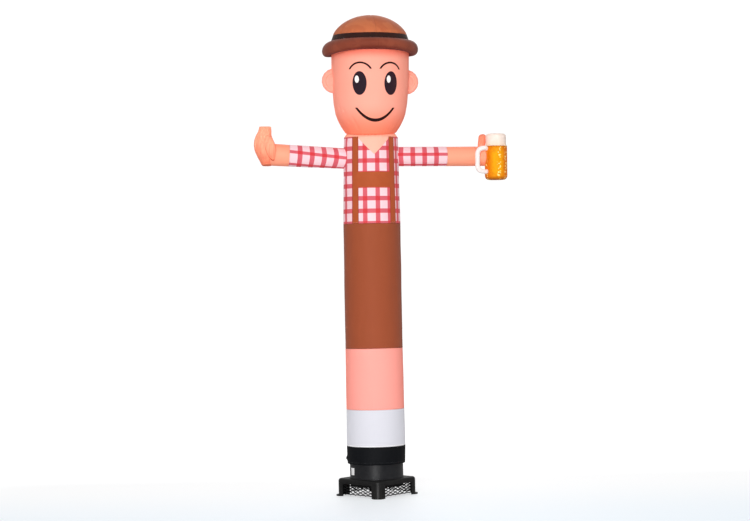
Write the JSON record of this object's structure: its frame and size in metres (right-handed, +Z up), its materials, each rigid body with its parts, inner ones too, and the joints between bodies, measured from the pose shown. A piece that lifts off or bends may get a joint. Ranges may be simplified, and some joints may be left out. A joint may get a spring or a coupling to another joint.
{
  "type": "inflatable air dancer on a blower",
  "caption": "Tall inflated cloth tube figure in folk dress, one thumb up and a foaming mug in the other hand, standing on a black floor blower.",
  "frame": {"origin": "on the floor, near the middle of the whole outline; the blower's axis stands at x -0.105, y 0.105", "axes": "+Z up, -Y the way the figure faces, +X towards the hand that holds the mug"},
  "size_m": [2.4038, 0.9767, 4.5055],
  "materials": {
    "black_cloth": "matte",
    "white_cloth": "matte",
    "skin_cloth": "matte",
    "brown_cloth": "matte",
    "check_cloth": "matte",
    "hat_cloth": "matte",
    "band_cloth": "matte",
    "mug_cloth": "satin",
    "foam_cloth": "matte",
    "black_plastic": "satin",
    "black_wire": "satin"
  },
  "bodies": {
    "root": {"skirt": "black_cloth", "sock_panel": "white_cloth", "leg_panel": "skin_cloth", "trousers_panel": "brown_cloth", "shirt_panel": "check_cloth", "neck_panel": "skin_cloth", "head_panel": "skin_cloth", "hat_brim": "hat_cloth", "hat_band": "band_cloth", "hat_top": "hat_cloth", "ear_left": "skin_cloth", "ear_right": "skin_cloth", "sleeve_left": "check_cloth", "sleeve_right": "check_cloth", "forearm_left": "skin_cloth", "thumb_hand": "skin_cloth", "forearm_right": "skin_cloth", "mug_hand": "skin_cloth", "mug": "mug_cloth", "mug_foam": "foam_cloth", "mug_handle": "white_cloth", "blower_base": "black_plastic", "blower_drum": "black_plastic", "grille_1": "black_wire", "grille_2": "black_wire", "grille_3": "black_wire", "grille_4": "black_wire"}
  },
  "joints": []
}
